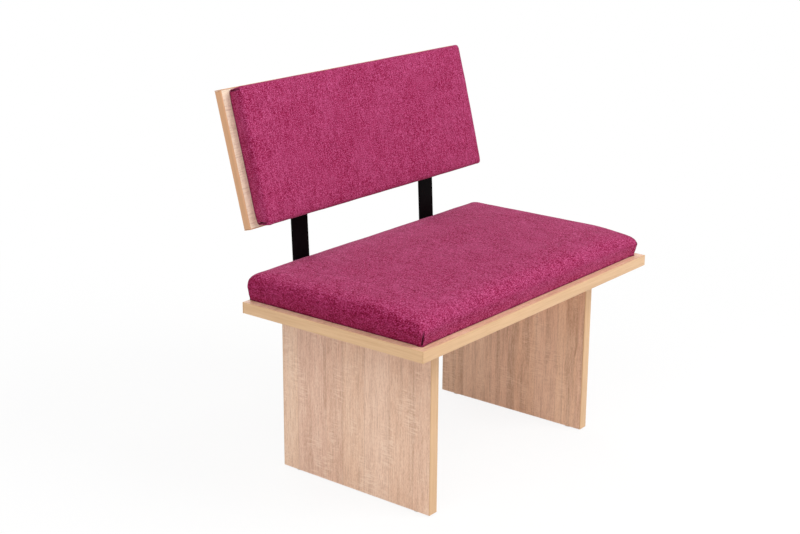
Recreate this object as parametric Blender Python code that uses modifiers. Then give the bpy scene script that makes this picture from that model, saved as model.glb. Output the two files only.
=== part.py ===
"""Bench with a padded seat, slab legs and a reclined padded back on two bent steel bars.

Metres, +Z up. The bench faces -Y, its width runs along X, left is -X as seen from the front,
and the origin is on the floor under the middle of the whole bench.
"""
import math
from collections import namedtuple

import bmesh
import bpy
from mathutils import Matrix, Vector

# Clearance between pieces that touch, and how far a cutter stands out of the face it cuts
GAP = 0.0003
OVERCUT = 0.001

# Seat board and slab legs
SEAT_WIDTH = 0.860
SEAT_DEPTH = 0.486
SEAT_THICKNESS = 0.025
LEG_THICKNESS = 0.025
LEG_HEIGHT = 0.392
LEG_INSET = 0.120
LEG_FRONT_SETBACK = 0.070
LEG_REAR_SETBACK = 0.002

# Plastic edge bands
BAND_THICKNESS = 0.002
BAND_ROUNDING = 0.0012
BAND_ROUNDING_STEPS = 2

# Rail between the legs, on edge under the seat and just in front of the bars' feet
RAIL_HEIGHT = 0.120
RAIL_THICKNESS = 0.025
RAIL_BAR_CLEARANCE = 0.020

# Back board, whose lower rear edge stands clear above the seat board
BACK_WIDTH = 0.811
BACK_HEIGHT = 0.300
BACK_THICKNESS = 0.018
BACK_CLEAR_HEIGHT = 0.1494
RECLINE = math.radians(15)

# Flat steel bars: a foot under the seat, a slightly set back upright, then the recline
BAR_WIDTH = 0.050
BAR_THICKNESS = 0.006
BAR_FOOT_LENGTH = 0.200
BAR_STAND_OFF = 0.0067
BAR_SET = math.radians(2.7)
BAR_LEG_CLEARANCE = 0.032
BAR_TOP_MARGIN = 0.100
BAR_BEND_RISE = 0.010
BAR_FOOT_RADIUS = 0.006
BAR_BEND_RADIUS = 0.040
BAR_EDGE_ROUNDING = 0.0006
BAR_EDGE_ANGLE = math.radians(60)

# Cushions: a fabric cover over foam on a thin board
COVER_THICKNESS = 0.0015
FILL_CLEARANCE = 0.0008
HEM_WIDTH = 0.025
SEAT_PAD_SIDE_MARGIN = 0.0225
SEAT_PAD_FRONT_MARGIN = 0.022
SEAT_PAD_REAR_MARGIN = 0.001
SEAT_PAD_BASE = 0.012
SEAT_PAD_BELLY_HEIGHT = 0.033
SEAT_PAD_EDGE_HEIGHT = 0.050
SEAT_PAD_CROWN = 0.018
SEAT_PAD_BULGE = 0.011
SEAT_PAD_REAR_BULGE = 0.005
SEAT_PAD_EDGE_OUTSET = 0.001
SEAT_PAD_CORNER = 0.007
SEAT_PAD_ROLL = 0.032
BACK_PAD_SIDE_MARGIN = 0.0245
BACK_PAD_EDGE_MARGIN = 0.003
BACK_PAD_BASE = 0.008
BACK_PAD_BELLY_HEIGHT = 0.025
BACK_PAD_EDGE_HEIGHT = 0.037
BACK_PAD_CROWN = 0.006
BACK_PAD_BULGE = 0.007
BACK_PAD_END_BULGE = 0.003
BACK_PAD_EDGE_OUTSET = 0.003
BACK_PAD_CORNER = 0.006
BACK_PAD_ROLL = 0.020

# Dowels between the rail and the legs
DOWEL_DIAMETER = 0.008
DOWEL_CHAMFER = 0.001
DOWEL_LEG_DEPTH = 0.012
DOWEL_RAIL_DEPTH = 0.020
DOWEL_TOP_MARGIN = 0.048
DOWEL_BOTTOM_MARGIN = 0.024

# Screws that hold the seat board down on the legs and the rail
SEAT_SCREW_SHANK = 0.0065
SEAT_SCREW_HEAD = 0.010
SEAT_SCREW_HEAD_HEIGHT = 0.004
SEAT_SCREW_BITE = 0.040
LEG_SCREW_COUNT = 3
LEG_SCREW_END_MARGIN = 0.060
RAIL_SCREW_SPACING = 0.240

# Pan head screws for the bars and the cushions
PAN_SCREW_SHANK = 0.0045
PAN_SCREW_HEAD = 0.0095
PAN_SCREW_HEAD_HEIGHT = 0.003
SCREW_TIP = 0.003
SEAT_BITE = 0.016
BACK_BITE = 0.012
SEAT_PAD_BITE = 0.008
BACK_PAD_BITE = 0.005
BAR_FOOT_SCREW_COUNT = 3
BAR_SCREW_END_MARGIN = 0.022
SEAT_PAD_SCREW_BAR_MARGIN = 0.045
SEAT_PAD_SCREW_EDGE_MARGIN = 0.090
BACK_PAD_SCREW_EDGE_MARGIN = 0.060

# Floor glides
GLIDE_DIAMETER = 0.020
GLIDE_HEIGHT = 0.003
GLIDE_ROUNDING = 0.001
GLIDE_PIN_DIAMETER = 0.003
GLIDE_PIN_LENGTH = 0.014
GLIDE_END_MARGIN = 0.040

# Faceting of round and soft pieces
TURNED_STEPS = 12
HOLE_SIDES = 16
FOOT_BEND_STEPS = 6
BACK_BEND_STEPS = 3
BASE_CORNER_STEPS = 3
PAD_SMOOTHING = 1

# How much of a cushion's crown is reached at each line of its cage, from the border to the middle
CROWN_SHARES = (0, 0.45, 0.8, 1, 0.8, 0.45, 0)
PAD_SPANS = len(CROWN_SHARES) - 1

# Distance under which two points are taken as one
MERGE_DISTANCE = 0.00001

# Heights that follow from the sizes above
LEG_BASE = GLIDE_HEIGHT + GAP
SEAT_UNDERSIDE = LEG_BASE + LEG_HEIGHT + GAP
SEAT_TOP = SEAT_UNDERSIDE + SEAT_THICKNESS
RAIL_TOP = SEAT_UNDERSIDE - GAP
RAIL_BASE = RAIL_TOP - RAIL_HEIGHT
BACK_BASE = SEAT_TOP + BACK_CLEAR_HEIGHT

# The bars' bend behind the back board, and the board's lower rear edge, from the seat's rear edge
BEND_HEIGHT = BACK_BASE - GAP * math.sin(RECLINE) + BAR_BEND_RISE * math.cos(RECLINE)
BEND_OFFSET = BAR_STAND_OFF + math.tan(BAR_SET) * (BEND_HEIGHT - SEAT_UNDERSIDE + GAP)
BACK_OFFSET = BEND_OFFSET - GAP * math.cos(RECLINE) - BAR_BEND_RISE * math.sin(RECLINE)

# Places along Y: the bench is centred from the seat's front edge to the back's upper rear edge
OVERALL_DEPTH = SEAT_DEPTH + BACK_OFFSET + BACK_HEIGHT * math.sin(RECLINE)
SEAT_FRONT = -OVERALL_DEPTH / 2
SEAT_REAR = SEAT_FRONT + SEAT_DEPTH
LEG_FRONT = SEAT_FRONT + LEG_FRONT_SETBACK
LEG_REAR = SEAT_REAR - LEG_REAR_SETBACK
BAR_FOOT_END = SEAT_REAR - BAR_FOOT_LENGTH
RAIL_REAR = BAR_FOOT_END - RAIL_BAR_CLEARANCE
RAIL_MIDDLE = RAIL_REAR - RAIL_THICKNESS / 2

# Places along X, on the right-hand side
LEG_OUTER = SEAT_WIDTH / 2 - LEG_INSET
LEG_INNER = LEG_OUTER - LEG_THICKNESS
LEG_MIDDLE = LEG_OUTER - LEG_THICKNESS / 2
BAR_OUTER = LEG_INNER - BAR_LEG_CLEARANCE
BAR_INNER = BAR_OUTER - BAR_WIDTH
BAR_MIDDLE = (BAR_OUTER + BAR_INNER) / 2

# What an edge band takes from the board it covers
BANDED = BAND_THICKNESS + GAP

UP = Vector((0, 0, 1))
DOWN = Vector((0, 0, -1))
FORWARD = Vector((0, -1, 0))
BACKWARD = Vector((0, 1, 0))
LEFT = Vector((-1, 0, 0))
RIGHT = Vector((1, 0, 0))
SIDES = (("left", -1), ("right", 1))

Hole = namedtuple("Hole", "mouth direction diameter depth")
Bend = namedtuple("Bend", "radius steps")
Ring = namedtuple("Ring", "height side front rear")
Pad = namedtuple("Pad", "width depth base belly_height edge_height crown side front rear outset corner roll")


def empty_scene():
    for obj in list(bpy.data.objects):
        bpy.data.objects.remove(obj, do_unlink=True)


def collection(name):
    group = bpy.data.collections.new(name)
    bpy.context.scene.collection.children.link(group)
    return group


def finish(name, colour, roughness, metallic=0.0):
    material = bpy.data.materials.new(name)
    material.use_nodes = True
    shader = material.node_tree.nodes["Principled BSDF"]
    shader.inputs["Base Color"].default_value = (*colour, 1.0)
    shader.inputs["Roughness"].default_value = roughness
    shader.inputs["Metallic"].default_value = metallic
    return material


def place(name, mesh, material, location=(0, 0, 0), parent=None):
    """Add a sub-part to the bench."""
    obj = bpy.data.objects.new(name, mesh)
    obj.location = location
    obj.parent = parent
    mesh.materials.append(material)
    PARTS.objects.link(obj)
    return obj


def frame(name, location, tilt=0.0, parent=None):
    """An empty that carries pieces which are turned about X together."""
    empty = bpy.data.objects.new(name, None)
    empty.location = location
    empty.rotation_euler = (tilt, 0, 0)
    empty.parent = parent
    PARTS.objects.link(empty)
    return empty


def mesh_from(bm, name):
    mesh = bpy.data.meshes.new(name)
    bm.to_mesh(mesh)
    bm.free()
    return mesh


def board(name, low, high, material, parent=None):
    """A square-edged board between two corners."""
    low = Vector(low)
    high = Vector(high)
    bm = bmesh.new()
    bmesh.ops.create_cube(bm, size=1, matrix=Matrix.Diagonal((*(high - low), 1)))
    return place(name, mesh_from(bm, name), material, (low + high) / 2, parent)


def band(name, low, high, outward, parent=None):
    """An edge band whose outer long edges are rounded over."""
    strip = board(name, low, high, EDGE_BAND, parent)
    mesh = strip.data
    reach = max(vert.co.dot(outward) for vert in mesh.vertices)
    weights = mesh.attributes.new("bevel_weight_edge", "FLOAT", "EDGE")
    for edge in mesh.edges:
        on_face = all(mesh.vertices[i].co.dot(outward) > reach - MERGE_DISTANCE for i in edge.vertices)
        weights.data[edge.index].value = float(on_face)
    rounding = strip.modifiers.new("rounding", "BEVEL")
    rounding.limit_method = "WEIGHT"
    rounding.width = BAND_ROUNDING
    rounding.segments = BAND_ROUNDING_STEPS
    return strip


def drill(target, holes, parent=None):
    """Cut round holes, each given by its mouth and the direction it runs in."""
    bm = bmesh.new()
    for hole in holes:
        length = hole.depth + OVERCUT
        middle = hole.mouth + hole.direction * (hole.depth - OVERCUT) / 2
        turn = hole.direction.to_track_quat("Z", "Y").to_matrix().to_4x4()
        bmesh.ops.create_cone(
            bm, cap_ends=True, segments=HOLE_SIDES, depth=length,
            radius1=hole.diameter / 2, radius2=hole.diameter / 2,
            matrix=Matrix.Translation(middle) @ turn)
    name = f"{target.name}_holes_{len(target.modifiers)}"
    cutter = bpy.data.objects.new(name, mesh_from(bm, name))
    cutter.parent = parent
    cutter.hide_render = True
    cutter.display_type = "WIRE"
    CUTTERS.objects.link(cutter)
    cut = target.modifiers.new("holes", "BOOLEAN")
    cut.operation = "DIFFERENCE"
    cut.solver = "EXACT"
    cut.object = cutter


def turned(name, profile, material, location, axis, parent=None):
    """A round piece from its profile of (radius, height) points, top to bottom, along an axis."""
    mesh = bpy.data.meshes.new(name)
    points = [(radius, 0, height) for radius, height in profile]
    mesh.from_pydata(points, [(i, i + 1) for i in range(len(points) - 1)], [])
    piece = place(name, mesh, material, location, parent)
    piece.rotation_euler = axis.to_track_quat("Z", "Y").to_euler()
    spin = piece.modifiers.new("turning", "SCREW")
    spin.steps = TURNED_STEPS
    spin.render_steps = TURNED_STEPS
    spin.use_merge_vertices = True
    spin.merge_threshold = MERGE_DISTANCE
    return piece


def pan_screw(name, seat, axis, length, parent=None):
    """A pan head screw whose head rests on the seat point and faces along the axis."""
    shank = PAN_SCREW_SHANK / 2
    head = PAN_SCREW_HEAD / 2
    profile = [
        (0, PAN_SCREW_HEAD_HEIGHT), (head - shank / 2, PAN_SCREW_HEAD_HEIGHT),
        (head, PAN_SCREW_HEAD_HEIGHT / 2), (head, 0),
        (shank, 0), (shank, SCREW_TIP - length), (0, -length)]
    return turned(name, profile, SCREW_STEEL, seat + axis * GAP, axis, parent)


def seat_screw(name, x, y):
    """A screw sunk in the seat board's top, down into a board below."""
    shank = SEAT_SCREW_SHANK / 2
    head = SEAT_SCREW_HEAD / 2
    length = SEAT_THICKNESS + SEAT_SCREW_BITE
    profile = [
        (0, 0), (head, 0), (head, -SEAT_SCREW_HEAD_HEIGHT),
        (shank, -SEAT_SCREW_HEAD_HEIGHT), (shank, SCREW_TIP - length), (0, -length)]
    return turned(name, profile, SCREW_STEEL, (x, y, SEAT_TOP - GAP), UP)


def seat_screw_holes(places):
    """Recesses and holes in the seat board for the screws at the given (x, y) places."""
    recesses = []
    shanks = []
    for x, y in places:
        mouth = Vector((x, y, SEAT_TOP))
        recesses.append(Hole(mouth, DOWN, SEAT_SCREW_HEAD + 2 * GAP, SEAT_SCREW_HEAD_HEIGHT + 2 * GAP))
        shanks.append(Hole(mouth, DOWN, SEAT_SCREW_SHANK + 2 * GAP, SEAT_THICKNESS + OVERCUT))
    return recesses, shanks


def screw_bores(places, top):
    """Blind holes for the same screws in the board below."""
    return [
        Hole(Vector((x, y, top)), DOWN, SEAT_SCREW_SHANK + 2 * GAP, SEAT_SCREW_BITE + GAP)
        for x, y in places]


def spaced(first, last, count):
    return [first + (last - first) * i / (count - 1) for i in range(count)]


def leg_screw_places(sign):
    front = LEG_FRONT + LEG_SCREW_END_MARGIN
    rear = LEG_REAR - LEG_SCREW_END_MARGIN
    rows = spaced(front, rear, LEG_SCREW_COUNT)
    return [(sign * LEG_MIDDLE, y) for y in rows]


def rail_screw_places():
    return [(sign * RAIL_SCREW_SPACING / 2, RAIL_MIDDLE) for _, sign in SIDES]


def seat_pad_screw_places():
    x = BAR_INNER - SEAT_PAD_SCREW_BAR_MARGIN
    rows = (SEAT_FRONT + SEAT_PAD_SCREW_EDGE_MARGIN, SEAT_REAR - SEAT_PAD_SCREW_EDGE_MARGIN)
    return [(sign * x, y) for _, sign in SIDES for y in rows]


def back_pad_screw_places():
    """Half way between the bars and the cushion's ends."""
    x = (BAR_OUTER + BACK_WIDTH / 2 - BACK_PAD_SIDE_MARGIN) / 2
    rows = (BACK_PAD_SCREW_EDGE_MARGIN, BACK_HEIGHT - BACK_PAD_SCREW_EDGE_MARGIN)
    return [(sign * x, z) for _, sign in SIDES for z in rows]


def bar_back_screw_heights():
    return BAR_SCREW_END_MARGIN, BACK_HEIGHT - BAR_TOP_MARGIN - BAR_SCREW_END_MARGIN


def bar_seat_screw_rows():
    front = BAR_FOOT_END + BAR_SCREW_END_MARGIN
    rear = SEAT_REAR - BAR_SCREW_END_MARGIN
    return spaced(front, rear, BAR_FOOT_SCREW_COUNT)


def dowel_heights():
    return ("upper", RAIL_TOP - DOWEL_TOP_MARGIN), ("lower", RAIL_BASE + DOWEL_BOTTOM_MARGIN)


def make_seat_board():
    half = SEAT_WIDTH / 2
    core = board(
        "seat_board",
        (BANDED - half, SEAT_FRONT + BANDED, SEAT_UNDERSIDE),
        (half - BANDED, SEAT_REAR - BANDED, SEAT_TOP), LAMINATE)
    band(
        "seat_band_front", (-half, SEAT_FRONT, SEAT_UNDERSIDE),
        (half, SEAT_FRONT + BAND_THICKNESS, SEAT_TOP), FORWARD)
    band(
        "seat_band_rear", (-half, SEAT_REAR - BAND_THICKNESS, SEAT_UNDERSIDE),
        (half, SEAT_REAR, SEAT_TOP), BACKWARD)
    band(
        "seat_band_left", (-half, SEAT_FRONT + BANDED, SEAT_UNDERSIDE),
        (BAND_THICKNESS - half, SEAT_REAR - BANDED, SEAT_TOP), LEFT)
    band(
        "seat_band_right", (half - BAND_THICKNESS, SEAT_FRONT + BANDED, SEAT_UNDERSIDE),
        (half, SEAT_REAR - BANDED, SEAT_TOP), RIGHT)
    places = leg_screw_places(-1) + leg_screw_places(1) + rail_screw_places()
    recesses, shanks = seat_screw_holes(places)
    pad_holes = [
        Hole(Vector((x, y, SEAT_UNDERSIDE)), UP, PAN_SCREW_SHANK + 2 * GAP, SEAT_THICKNESS + OVERCUT)
        for x, y in seat_pad_screw_places()]
    bar_holes = [
        Hole(Vector((sign * BAR_MIDDLE, y, SEAT_UNDERSIDE)), UP, PAN_SCREW_SHANK + 2 * GAP, SEAT_BITE + GAP)
        for _, sign in SIDES for y in bar_seat_screw_rows()]
    drill(core, recesses)
    drill(core, shanks + pad_holes + bar_holes)


def make_leg(side, sign):
    inner = sign * LEG_INNER
    outer = sign * LEG_OUTER
    low_x, high_x = sorted((inner, outer))
    top = LEG_BASE + LEG_HEIGHT
    core = board(
        f"leg_panel_{side}", (low_x, LEG_FRONT + BANDED, LEG_BASE),
        (high_x, LEG_REAR - BANDED, top), LAMINATE)
    band(
        f"leg_band_front_{side}", (low_x, LEG_FRONT, LEG_BASE),
        (high_x, LEG_FRONT + BAND_THICKNESS, top), FORWARD)
    band(
        f"leg_band_rear_{side}", (low_x, LEG_REAR - BAND_THICKNESS, LEG_BASE),
        (high_x, LEG_REAR, top), BACKWARD)
    outward = Vector((sign, 0, 0))
    dowel_holes = [
        Hole(Vector((inner, RAIL_MIDDLE, z)), outward, DOWEL_DIAMETER + 2 * GAP, DOWEL_LEG_DEPTH + GAP)
        for _, z in dowel_heights()]
    glide_rows = (("front", LEG_FRONT + GLIDE_END_MARGIN), ("rear", LEG_REAR - GLIDE_END_MARGIN))
    pin_hole = GLIDE_PIN_DIAMETER + 2 * GAP
    glide_holes = [
        Hole(Vector((sign * LEG_MIDDLE, y, LEG_BASE)), UP, pin_hole, GLIDE_PIN_LENGTH + GAP)
        for _, y in glide_rows]
    drill(core, screw_bores(leg_screw_places(sign), top) + dowel_holes + glide_holes)
    for number, (x, y) in enumerate(leg_screw_places(sign), 1):
        seat_screw(f"leg_screw_{side}_{number}", x, y)
    for row, y in glide_rows:
        make_glide(f"glide_{side}_{row}", Vector((sign * LEG_MIDDLE, y, GLIDE_HEIGHT)))


def make_glide(name, seat):
    """A plastic disc on a pin that is driven into the bottom of a leg."""
    radius = GLIDE_DIAMETER / 2
    pin = GLIDE_PIN_DIAMETER / 2
    profile = [
        (0, GLIDE_HEIGHT), (radius - GLIDE_ROUNDING, GLIDE_HEIGHT),
        (radius, GLIDE_HEIGHT - GLIDE_ROUNDING), (radius, 0),
        (pin, 0), (pin, pin - GLIDE_PIN_LENGTH), (0, -GLIDE_PIN_LENGTH)]
    turned(name, profile, GLIDE_PLASTIC, seat, DOWN)


def make_rail():
    half = LEG_INNER - GAP
    front = RAIL_REAR - RAIL_THICKNESS
    core = board("rail", (-half, front, RAIL_BASE + BANDED), (half, RAIL_REAR, RAIL_TOP), LAMINATE)
    band("rail_band", (-half, front, RAIL_BASE), (half, RAIL_REAR, RAIL_BASE + BAND_THICKNESS), DOWN)
    holes = screw_bores(rail_screw_places(), RAIL_TOP)
    for side, sign in SIDES:
        inward = Vector((-sign, 0, 0))
        for level, z in dowel_heights():
            mouth = Vector((sign * half, RAIL_MIDDLE, z))
            holes.append(Hole(mouth, inward, DOWEL_DIAMETER + 2 * GAP, DOWEL_RAIL_DEPTH + GAP))
            make_dowel(f"rail_dowel_{side}_{level}", sign, z)
    drill(core, holes)
    for (side, _), (x, y) in zip(SIDES, rail_screw_places()):
        seat_screw(f"rail_screw_{side}", x, y)


def make_dowel(name, sign, z):
    radius = DOWEL_DIAMETER / 2
    reach = (DOWEL_LEG_DEPTH + DOWEL_RAIL_DEPTH) / 2
    profile = [
        (0, reach), (radius - DOWEL_CHAMFER, reach), (radius, reach - DOWEL_CHAMFER),
        (radius, DOWEL_CHAMFER - reach), (radius - DOWEL_CHAMFER, -reach), (0, -reach)]
    x = sign * (LEG_INNER + (DOWEL_LEG_DEPTH - DOWEL_RAIL_DEPTH) / 2)
    turned(name, profile, DOWEL_WOOD, (x, RAIL_MIDDLE, z), RIGHT)


def bent_path(corners, bends):
    """Round the inner corners of a path with arcs."""
    path = [corners[0]]
    for before, corner, after, bend in zip(corners, corners[1:], corners[2:], bends):
        to_before = (before - corner).normalized()
        to_after = (after - corner).normalized()
        half_angle = to_before.angle(to_after) / 2
        centre = corner + (to_before + to_after).normalized() * bend.radius / math.sin(half_angle)
        start = (corner + to_before * bend.radius / math.tan(half_angle) - centre).normalized()
        end = (corner + to_after * bend.radius / math.tan(half_angle) - centre).normalized()
        path += [centre + start.slerp(end, i / bend.steps) * bend.radius for i in range(bend.steps + 1)]
    return path + [corners[-1]]


def bar_strip():
    """The bars' contact face: under the seat, up behind it, and up the rear of the back board."""
    top = SEAT_UNDERSIDE - GAP
    bend = Vector((0, SEAT_REAR + BEND_OFFSET, BEND_HEIGHT))
    reach = BACK_HEIGHT - BAR_TOP_MARGIN - BAR_BEND_RISE
    corners = [
        Vector((0, BAR_FOOT_END, top)),
        Vector((0, SEAT_REAR + BAR_STAND_OFF, top)),
        bend,
        bend + Vector((0, math.sin(RECLINE), math.cos(RECLINE))) * reach]
    bends = [Bend(BAR_FOOT_RADIUS, FOOT_BEND_STEPS), Bend(BAR_BEND_RADIUS, BACK_BEND_STEPS)]
    bm = bmesh.new()
    verts = [bm.verts.new(point) for point in bent_path(corners, bends)]
    edges = [bm.edges.new(pair) for pair in zip(verts, verts[1:])]
    strip = bmesh.ops.extrude_edge_only(bm, edges=edges)
    swept = [item for item in strip["geom"] if isinstance(item, bmesh.types.BMVert)]
    bmesh.ops.translate(bm, verts=swept, vec=RIGHT * BAR_WIDTH)
    bmesh.ops.translate(bm, verts=bm.verts, vec=LEFT * BAR_WIDTH / 2)
    bm.normal_update()
    bm.faces.ensure_lookup_table()
    if bm.faces[0].normal.z < 0:
        bmesh.ops.reverse_faces(bm, faces=bm.faces)
    return bm


def make_bar(side, sign, backrest):
    name = f"back_bar_{side}"
    bar = place(name, mesh_from(bar_strip(), name), BAR_STEEL, (sign * BAR_MIDDLE, 0, 0))
    wall = bar.modifiers.new("thickness", "SOLIDIFY")
    wall.thickness = BAR_THICKNESS
    wall.offset = -1
    wall.use_even_offset = True
    rounding = bar.modifiers.new("rounding", "BEVEL")
    rounding.limit_method = "ANGLE"
    rounding.angle_limit = BAR_EDGE_ANGLE
    rounding.width = BAR_EDGE_ROUNDING
    rounding.segments = 1
    diameter = PAN_SCREW_SHANK + 2 * GAP
    through = BAR_THICKNESS + OVERCUT
    grip = BAR_THICKNESS + 2 * GAP
    seat_holes = []
    for number, y in enumerate(bar_seat_screw_rows(), 1):
        mouth = Vector((sign * BAR_MIDDLE, y, SEAT_UNDERSIDE - GAP - BAR_THICKNESS))
        seat_holes.append(Hole(mouth, UP, diameter, through))
        pan_screw(f"bar_screw_seat_{side}_{number}", mouth, DOWN, grip + SEAT_BITE)
    drill(bar, seat_holes)
    back_holes = []
    for number, z in enumerate(bar_back_screw_heights(), 1):
        mouth = Vector((sign * BAR_MIDDLE, GAP + BAR_THICKNESS, z))
        back_holes.append(Hole(mouth, FORWARD, diameter, through))
        pan_screw(f"bar_screw_back_{side}_{number}", mouth, BACKWARD, grip + BACK_BITE, backrest)
    drill(bar, back_holes, backrest)


def make_back_board(backrest):
    """The back board in the backrest's own frame: Z up along the board, the front at -Y."""
    half = BACK_WIDTH / 2
    front = -BACK_THICKNESS
    core = board(
        "back_board", (BANDED - half, front, BANDED),
        (half - BANDED, 0, BACK_HEIGHT - BANDED), LAMINATE, backrest)
    band(
        "back_band_top", (-half, front, BACK_HEIGHT - BAND_THICKNESS),
        (half, 0, BACK_HEIGHT), UP, backrest)
    band("back_band_bottom", (-half, front, 0), (half, 0, BAND_THICKNESS), DOWN, backrest)
    band(
        "back_band_left", (-half, front, BANDED),
        (BAND_THICKNESS - half, 0, BACK_HEIGHT - BANDED), LEFT, backrest)
    band(
        "back_band_right", (half - BAND_THICKNESS, front, BANDED),
        (half, 0, BACK_HEIGHT - BANDED), RIGHT, backrest)
    diameter = PAN_SCREW_SHANK + 2 * GAP
    holes = [
        Hole(Vector((sign * BAR_MIDDLE, 0, z)), FORWARD, diameter, BACK_BITE + GAP)
        for _, sign in SIDES for z in bar_back_screw_heights()]
    holes += [
        Hole(Vector((x, 0, z)), FORWARD, diameter, BACK_THICKNESS + OVERCUT)
        for x, z in back_pad_screw_places()]
    drill(core, holes, backrest)


def cage_lines(low, high, pad):
    """Lines across a cushion: two near each end for its corner and edge, and one in the middle."""
    middle = (low + high) / 2
    return [low, low + pad.corner, low + pad.roll, middle, high - pad.roll, high - pad.corner, high]


def ring_reach(pad, ring):
    """A ring's half width and its lowest and highest Y."""
    return pad.width / 2 + ring.side, -pad.depth / 2 - ring.front, pad.depth / 2 + ring.rear


def pad_cage(pad, rings):
    """A crowned grid whose border runs down through the rings, open at the bottom."""
    half, low, high = ring_reach(pad, rings[0])
    columns = cage_lines(-half, half, pad)
    rows = cage_lines(low, high, pad)
    bm = bmesh.new()
    bmesh.ops.create_grid(bm, x_segments=PAD_SPANS, y_segments=PAD_SPANS, size=1)
    for vert in bm.verts:
        column = round((vert.co.x + 1) / 2 * PAD_SPANS)
        row = round((vert.co.y + 1) / 2 * PAD_SPANS)
        rise = pad.crown * min(CROWN_SHARES[column], CROWN_SHARES[row])
        vert.co = (columns[column], rows[row], rings[0].height + rise)
    for upper, lower in zip(rings, rings[1:]):
        drop_border(bm, ring_reach(pad, upper), ring_reach(pad, lower), lower.height)
    return bm


def drop_border(bm, upper, lower, height):
    """Extrude the open border down to the next ring."""
    border = [edge for edge in bm.edges if edge.is_boundary]
    skirt = bmesh.ops.extrude_edge_only(bm, edges=border)
    for vert in skirt["geom"]:
        if not isinstance(vert, bmesh.types.BMVert):
            continue
        if abs(abs(vert.co.x) - upper[0]) < MERGE_DISTANCE:
            vert.co.x = math.copysign(lower[0], vert.co.x)
        for before, after in zip(upper[1:], lower[1:]):
            if abs(vert.co.y - before) < MERGE_DISTANCE:
                vert.co.y = after
                break
        vert.co.z = height


def crease_border(bm):
    """Keep the open border sharp when the cage is smoothed, and return its edges."""
    crease = bm.edges.layers.float.new("crease_edge")
    border = [edge for edge in bm.edges if edge.is_boundary]
    for edge in border:
        edge[crease] = 1
    return border


def smooth(obj):
    smoothing = obj.modifiers.new("smoothing", "SUBSURF")
    smoothing.levels = PAD_SMOOTHING
    smoothing.render_levels = PAD_SMOOTHING
    obj.data.shade_smooth()


def make_cover(name, pad, carrier):
    """Fabric pulled over the cushion and folded under its board in a hem."""
    board_top = COVER_THICKNESS + GAP + pad.base
    rings = [
        Ring(pad.edge_height, pad.outset, pad.outset, pad.outset),
        Ring(pad.belly_height, pad.side, pad.front, pad.rear),
        Ring(board_top, 0, 0, 0),
        Ring(0, 0, 0, 0)]
    bm = pad_cage(pad, rings)
    border = crease_border(bm)
    hem = bmesh.ops.extrude_edge_only(bm, edges=border)
    for vert in hem["geom"]:
        if isinstance(vert, bmesh.types.BMVert):
            vert.co.x *= 1 - HEM_WIDTH / (pad.width / 2)
            vert.co.y *= 1 - HEM_WIDTH / (pad.depth / 2)
    bmesh.ops.recalc_face_normals(bm, faces=bm.faces)
    cover = place(name, mesh_from(bm, name), FABRIC, parent=carrier)
    smooth(cover)
    cloth = cover.modifiers.new("cloth", "SOLIDIFY")
    cloth.thickness = COVER_THICKNESS
    cloth.offset = -1
    cloth.use_even_offset = True


def make_foam(name, pad, carrier):
    """The foam block inside a cover, flat on the cushion's board."""
    inset = COVER_THICKNESS + FILL_CLEARANCE
    board_top = COVER_THICKNESS + GAP + pad.base
    edge = pad.outset - inset
    rings = [
        Ring(pad.edge_height - inset, edge, edge, edge),
        Ring(pad.belly_height, pad.side - inset, pad.front - inset, pad.rear - inset),
        Ring(board_top + GAP, -inset, -inset, -inset)]
    bm = pad_cage(pad, rings)
    bmesh.ops.contextual_create(bm, geom=crease_border(bm))
    bmesh.ops.recalc_face_normals(bm, faces=bm.faces)
    smooth(place(name, mesh_from(bm, name), FOAM, parent=carrier))


def make_pad_base(name, pad, carrier, holes):
    """The thin board under the foam, with its corners rounded to clear the cover."""
    underside = COVER_THICKNESS + GAP
    half_x = pad.width / 2 - COVER_THICKNESS - FILL_CLEARANCE
    half_y = pad.depth / 2 - COVER_THICKNESS - FILL_CLEARANCE
    base = board(
        name, (-half_x, -half_y, underside), (half_x, half_y, underside + pad.base), PAD_BOARD, carrier)
    mesh = base.data
    weights = mesh.attributes.new("bevel_weight_edge", "FLOAT", "EDGE")
    for edge in mesh.edges:
        ends = [mesh.vertices[i].co for i in edge.vertices]
        weights.data[edge.index].value = float(abs(ends[0].z - ends[1].z) > MERGE_DISTANCE)
    rounding = base.modifiers.new("corners", "BEVEL")
    rounding.limit_method = "WEIGHT"
    rounding.width = pad.corner + COVER_THICKNESS
    rounding.segments = BASE_CORNER_STEPS
    drill(base, holes, carrier)


def make_pad(name, pad, carrier, screw_places, bite):
    """A whole cushion in its own frame: Z out of the board it sits on, with screw holes in its base."""
    mouth_height = COVER_THICKNESS + GAP
    holes = [
        Hole(Vector((x, y, mouth_height)), UP, PAN_SCREW_SHANK + 2 * GAP, bite + GAP)
        for x, y in screw_places]
    make_pad_base(f"{name}_base", pad, carrier, holes)
    make_foam(f"{name}_foam", pad, carrier)
    make_cover(f"{name}_cover", pad, carrier)


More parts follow.
